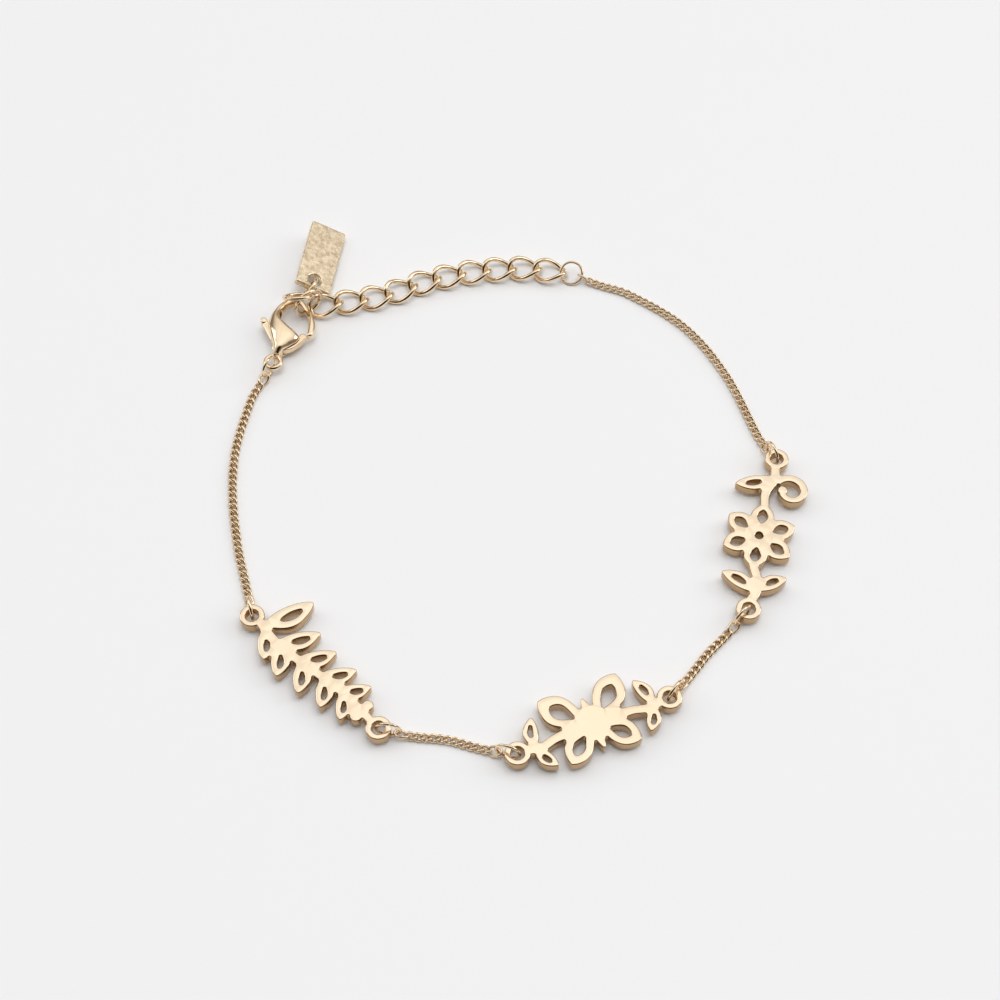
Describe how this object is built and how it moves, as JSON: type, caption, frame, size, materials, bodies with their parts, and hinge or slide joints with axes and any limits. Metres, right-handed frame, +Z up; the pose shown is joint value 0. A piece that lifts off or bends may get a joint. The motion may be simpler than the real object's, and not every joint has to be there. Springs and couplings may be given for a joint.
{
  "type": "nameplate bracelet",
  "caption": "Fine curb chain bracelet with pierced openwork plates, a curb link extender, a lobster clasp and a bar tag, lying as an open loop.",
  "frame": {"origin": "centre of the bracelet's bounding box, on the surface that it lies on", "axes": "+Z up from the surface, -Y toward the picture's camera, +X to the picture's right"},
  "size_m": [0.0726, 0.0808, 0.0047],
  "materials": {
    "plate_gold": "polished champagne gold plating, soft cast edges",
    "chain_gold": "polished gold wire",
    "ring_gold": "polished gold wire",
    "clasp_gold": "polished cast gold",
    "tag_gold": "hammered and brushed gold"
  },
  "bodies": {
    "bracelet": {"plate_first": "plate_gold", "plate_second": "plate_gold", "plate_third": "plate_gold", "chain_left": "chain_gold", "chain_lower": "chain_gold", "chain_lower_right": "chain_gold", "chain_right": "chain_gold", "plate_ring_1": "ring_gold", "plate_ring_2": "ring_gold", "plate_ring_3": "ring_gold", "plate_ring_4": "ring_gold", "plate_ring_5": "ring_gold", "plate_ring_6": "ring_gold", "clasp_body": "clasp_gold", "clasp_rivet": "clasp_gold", "clasp_ring": "ring_gold", "hook_ring": "ring_gold", "side_ring": "ring_gold", "tag_ring": "ring_gold", "tag": "tag_gold", "extender_link_01": "chain_gold", "extender_link_02": "chain_gold", "extender_link_03": "chain_gold", "extender_link_04": "chain_gold", "extender_link_05": "chain_gold", "extender_link_06": "chain_gold", "extender_link_07": "chain_gold", "extender_link_08": "chain_gold", "extender_link_09": "chain_gold", "extender_link_10": "chain_gold", "extender_ring": "ring_gold"},
    "lever": {"clasp_lever": "clasp_gold"}
  },
  "joints": [
    {"name": "lever_hinge", "type": "hinge", "parent": "bracelet", "child": "lever", "pos_m": [-0.0311, 0.01942, 0.00148], "axis": [0, 0, 1], "range_deg": [0, 22], "stiffness_Nm_per_rad": 0.0002}
  ]
}
